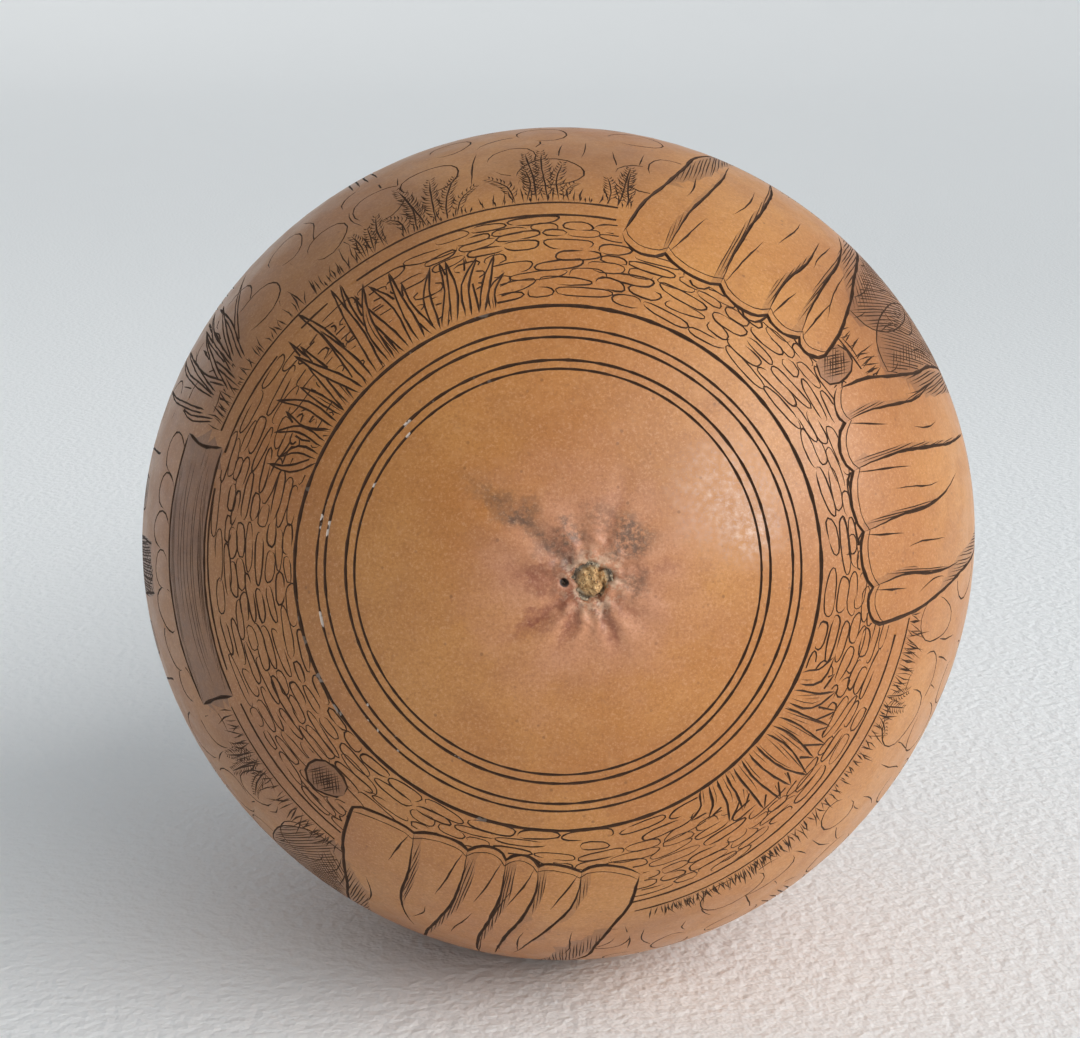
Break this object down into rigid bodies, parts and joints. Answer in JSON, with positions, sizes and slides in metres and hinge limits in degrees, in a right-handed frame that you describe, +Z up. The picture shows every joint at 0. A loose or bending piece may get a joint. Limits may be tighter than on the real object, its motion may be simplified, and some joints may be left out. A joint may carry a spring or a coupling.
{
  "type": "gourd maraca",
  "caption": "Round engraved gourd rattle with a turned wooden handle, lying on its side, with loose hard seeds inside the hollow gourd.",
  "frame": {"origin": "middle of the maraca's footprint, on the table that it lies on", "axes": "+Z up; -Y towards the blossom end of the gourd, which is raised; +Y along the table towards the butt of the handle; X across"},
  "size_m": [0.092, 0.237, 0.0919],
  "materials": {
    "gourd": "thin clear varnish over engraved, ink-filled lines",
    "cork": "dry and crumbly",
    "handle_wood": "oiled",
    "peg_wood": "cut flush and oiled",
    "resin": "set natural resin",
    "seed": "hard polished seed coat"
  },
  "bodies": {
    "maraca": {"gourd_shell": "gourd", "blossom_scar": "cork", "handle": "handle_wood", "resin_seal": "resin", "cross_peg_1": "peg_wood", "cross_peg_2": "peg_wood"},
    "seed_01": {"seed_01": "seed"},
    "seed_02": {"seed_02": "seed"},
    "seed_03": {"seed_03": "seed"},
    "seed_04": {"seed_04": "seed"},
    "seed_05": {"seed_05": "seed"},
    "seed_06": {"seed_06": "seed"},
    "seed_07": {"seed_07": "seed"},
    "seed_08": {"seed_08": "seed"},
    "seed_09": {"seed_09": "seed"},
    "seed_10": {"seed_10": "seed"},
    "seed_11": {"seed_11": "seed"},
    "seed_12": {"seed_12": "seed"},
    "seed_13": {"seed_13": "seed"},
    "seed_14": {"seed_14": "seed"},
    "seed_15": {"seed_15": "seed"},
    "seed_16": {"seed_16": "seed"},
    "seed_17": {"seed_17": "seed"},
    "seed_18": {"seed_18": "seed"},
    "seed_19": {"seed_19": "seed"},
    "seed_20": {"seed_20": "seed"},
    "seed_21": {"seed_21": "seed"},
    "seed_22": {"seed_22": "seed"},
    "seed_23": {"seed_23": "seed"},
    "seed_24": {"seed_24": "seed"},
    "seed_25": {"seed_25": "seed"},
    "seed_26": {"seed_26": "seed"},
    "seed_27": {"seed_27": "seed"},
    "seed_28": {"seed_28": "seed"},
    "seed_29": {"seed_29": "seed"},
    "seed_30": {"seed_30": "seed"},
    "seed_31": {"seed_31": "seed"}
  },
  "joints": [
    {"name": "seed_01_flight", "type": "slide", "parent": "maraca", "child": "seed_01", "axis": [0, 0, 1], "range_m": [0, 0.0649]},
    {"name": "seed_02_flight", "type": "slide", "parent": "maraca", "child": "seed_02", "axis": [0, 0, 1], "range_m": [0, 0.0645]},
    {"name": "seed_03_flight", "type": "slide", "parent": "maraca", "child": "seed_03", "axis": [0, 0, 1], "range_m": [0, 0.0665]},
    {"name": "seed_04_flight", "type": "slide", "parent": "maraca", "child": "seed_04", "axis": [0, 0, 1], "range_m": [0, 0.0704]},
    {"name": "seed_05_flight", "type": "slide", "parent": "maraca", "child": "seed_05", "axis": [0, 0, 1], "range_m": [0, 0.0725]},
    {"name": "seed_06_flight", "type": "slide", "parent": "maraca", "child": "seed_06", "axis": [0, 0, 1], "range_m": [0, 0.0711]},
    {"name": "seed_07_flight", "type": "slide", "parent": "maraca", "child": "seed_07", "axis": [0, 0, 1], "range_m": [0, 0.0654]},
    {"name": "seed_08_flight", "type": "slide", "parent": "maraca", "child": "seed_08", "axis": [0, 0, 1], "range_m": [0, 0.0671]},
    {"name": "seed_09_flight", "type": "slide", "parent": "maraca", "child": "seed_09", "axis": [0, 0, 1], "range_m": [0, 0.0728]},
    {"name": "seed_10_flight", "type": "slide", "parent": "maraca", "child": "seed_10", "axis": [0, 0, 1], "range_m": [0, 0.0758]},
    {"name": "seed_11_flight", "type": "slide", "parent": "maraca", "child": "seed_11", "axis": [0, 0, 1], "range_m": [0, 0.0764]},
    {"name": "seed_12_flight", "type": "slide", "parent": "maraca", "child": "seed_12", "axis": [0, 0, 1], "range_m": [0, 0.0725]},
    {"name": "seed_13_flight", "type": "slide", "parent": "maraca", "child": "seed_13", "axis": [0, 0, 1], "range_m": [0, 0.0669]},
    {"name": "seed_14_flight", "type": "slide", "parent": "maraca", "child": "seed_14", "axis": [0, 0, 1], "range_m": [0, 0.0719]},
    {"name": "seed_15_flight", "type": "slide", "parent": "maraca", "child": "seed_15", "axis": [0, 0, 1], "range_m": [0, 0.0759]},
    {"name": "seed_16_flight", "type": "slide", "parent": "maraca", "child": "seed_16", "axis": [0, 0, 1], "range_m": [0, 0.0782]},
    {"name": "seed_17_flight", "type": "slide", "parent": "maraca", "child": "seed_17", "axis": [0, 0, 1], "range_m": [0, 0.076]},
    {"name": "seed_18_flight", "type": "slide", "parent": "maraca", "child": "seed_18", "axis": [0, 0, 1], "range_m": [0, 0.0717]},
    {"name": "seed_19_flight", "type": "slide", "parent": "maraca", "child": "seed_19", "axis": [0, 0, 1], "range_m": [0, 0.0674]},
    {"name": "seed_20_flight", "type": "slide", "parent": "maraca", "child": "seed_20", "axis": [0, 0, 1], "range_m": [0, 0.0729]},
    {"name": "seed_21_flight", "type": "slide", "parent": "maraca", "child": "seed_21", "axis": [0, 0, 1], "range_m": [0, 0.0768]},
    {"name": "seed_22_flight", "type": "slide", "parent": "maraca", "child": "seed_22", "axis": [0, 0, 1], "range_m": [0, 0.0763]},
    {"name": "seed_23_flight", "type": "slide", "parent": "maraca", "child": "seed_23", "axis": [0, 0, 1], "range_m": [0, 0.0731]},
    {"name": "seed_24_flight", "type": "slide", "parent": "maraca", "child": "seed_24", "axis": [0, 0, 1], "range_m": [0, 0.0675]},
    {"name": "seed_25_flight", "type": "slide", "parent": "maraca", "child": "seed_25", "axis": [0, 0, 1], "range_m": [0, 0.0665]},
    {"name": "seed_26_flight", "type": "slide", "parent": "maraca", "child": "seed_26", "axis": [0, 0, 1], "range_m": [0, 0.072]},
    {"name": "seed_27_flight", "type": "slide", "parent": "maraca", "child": "seed_27", "axis": [0, 0, 1], "range_m": [0, 0.0736]},
    {"name": "seed_28_flight", "type": "slide", "parent": "maraca", "child": "seed_28", "axis": [0, 0, 1], "range_m": [0, 0.0713]},
    {"name": "seed_29_flight", "type": "slide", "parent": "maraca", "child": "seed_29", "axis": [0, 0, 1], "range_m": [0, 0.0675]},
    {"name": "seed_30_flight", "type": "slide", "parent": "maraca", "child": "seed_30", "axis": [0, 0, 1], "range_m": [0, 0.0667]},
    {"name": "seed_31_flight", "type": "slide", "parent": "maraca", "child": "seed_31", "axis": [0, 0, 1], "range_m": [0, 0.0668]}
  ]
}
